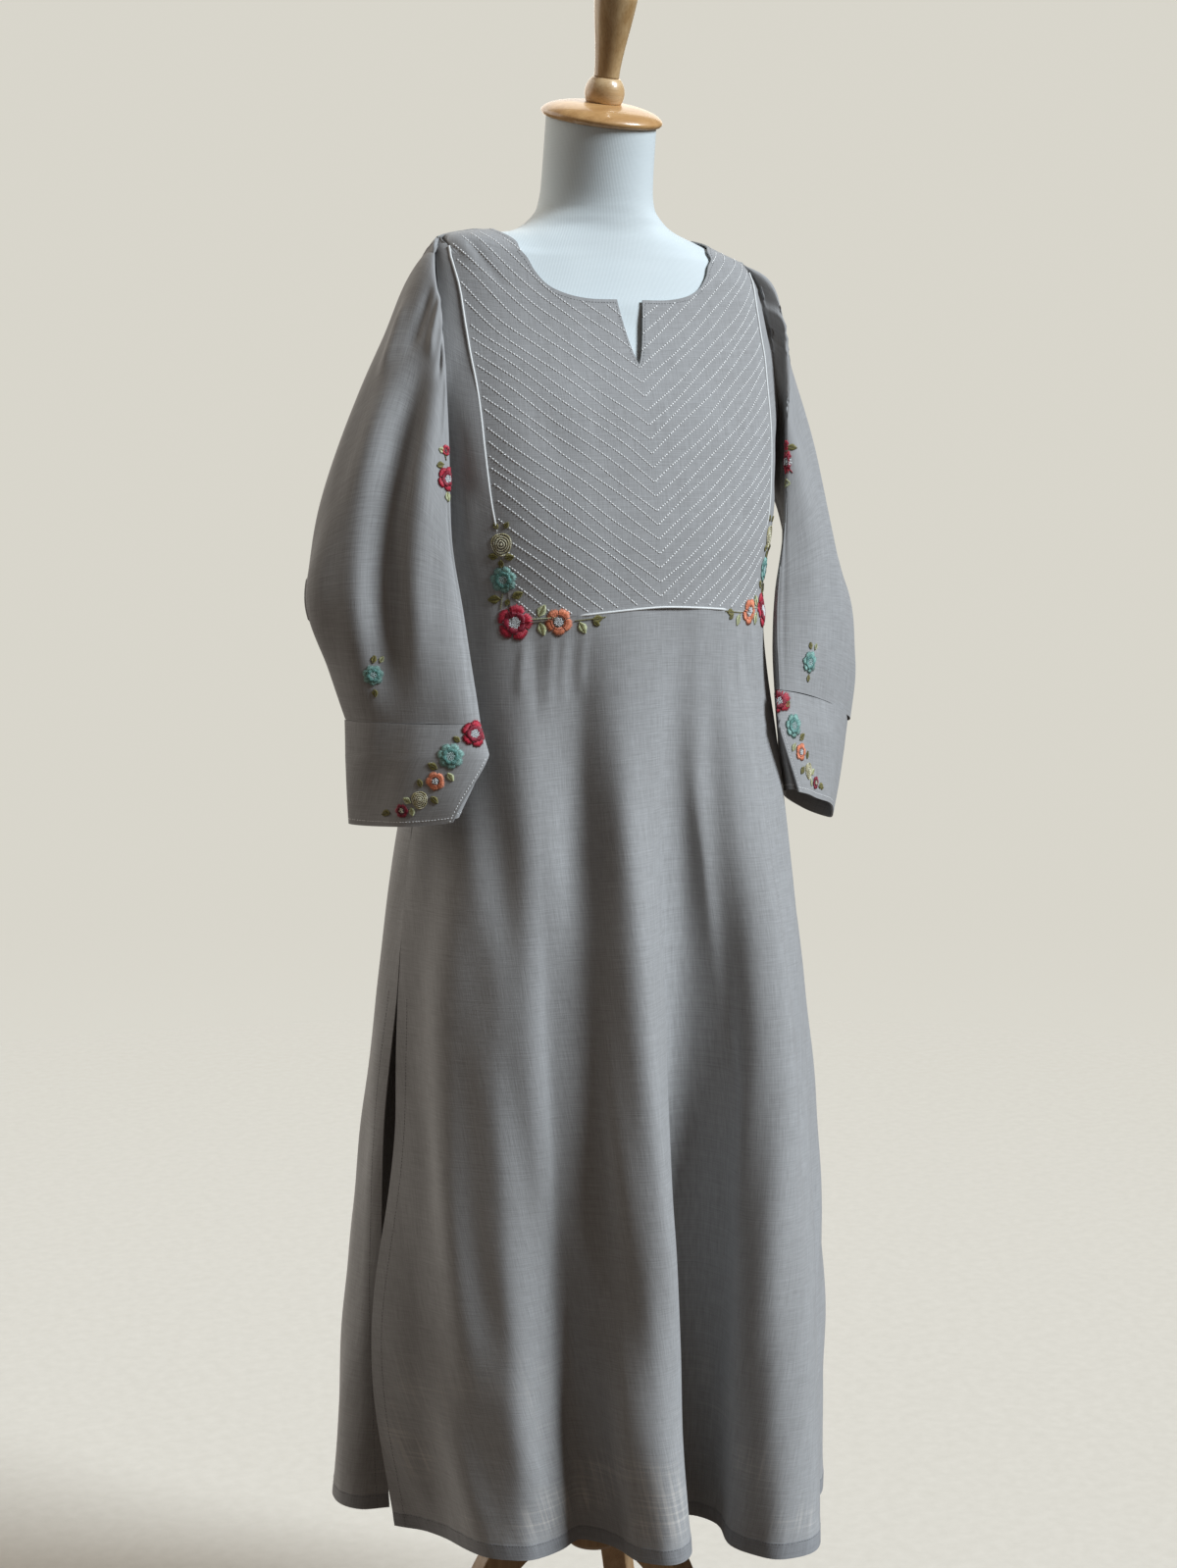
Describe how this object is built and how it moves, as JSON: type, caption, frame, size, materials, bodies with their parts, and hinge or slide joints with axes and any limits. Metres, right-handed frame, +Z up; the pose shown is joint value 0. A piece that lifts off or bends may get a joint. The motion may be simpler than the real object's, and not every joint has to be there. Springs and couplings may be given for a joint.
{
  "type": "kurta tunic on a dress form",
  "caption": "Calf-length linen kurta with a chevron-stitched yoke and petal cuffs, worn by a limbless padded dress form on a wooden tripod stand.",
  "frame": {"origin": "on the floor, in the middle of the part seen from above, under the stand's pole", "axes": "+Z up along the pole; the garment's front faces -Y; the wearer's right is -X"},
  "size_m": [0.5954, 0.4561, 1.6481],
  "materials": {
    "linen": "grey slub linen, plain weave, soft and slightly see-through, with white and coloured cotton embroidery",
    "white_cord": "white cotton piping cord along the yoke's seams",
    "jersey": "pale blue-grey fine knit drawn smooth over padding",
    "board": "black-painted board under the torso",
    "wood": "light varnished beech"
  },
  "bodies": {
    "root": {"front_panel": "linen", "yoke_right": "linen", "yoke_left": "linen", "back_panel": "linen", "sleeve_right": "linen", "sleeve_left": "linen", "cuff_right": "linen", "cuff_left": "linen", "piping_right": "white_cord", "piping_left": "white_cord", "piping_bottom": "white_cord", "form_body": "jersey", "form_base": "board", "neck_cap": "wood", "finial_bead": "wood", "finial_handle": "wood", "pole": "wood", "stand_hub": "wood", "leg_1": "wood", "leg_2": "wood", "leg_3": "wood"}
  },
  "joints": []
}
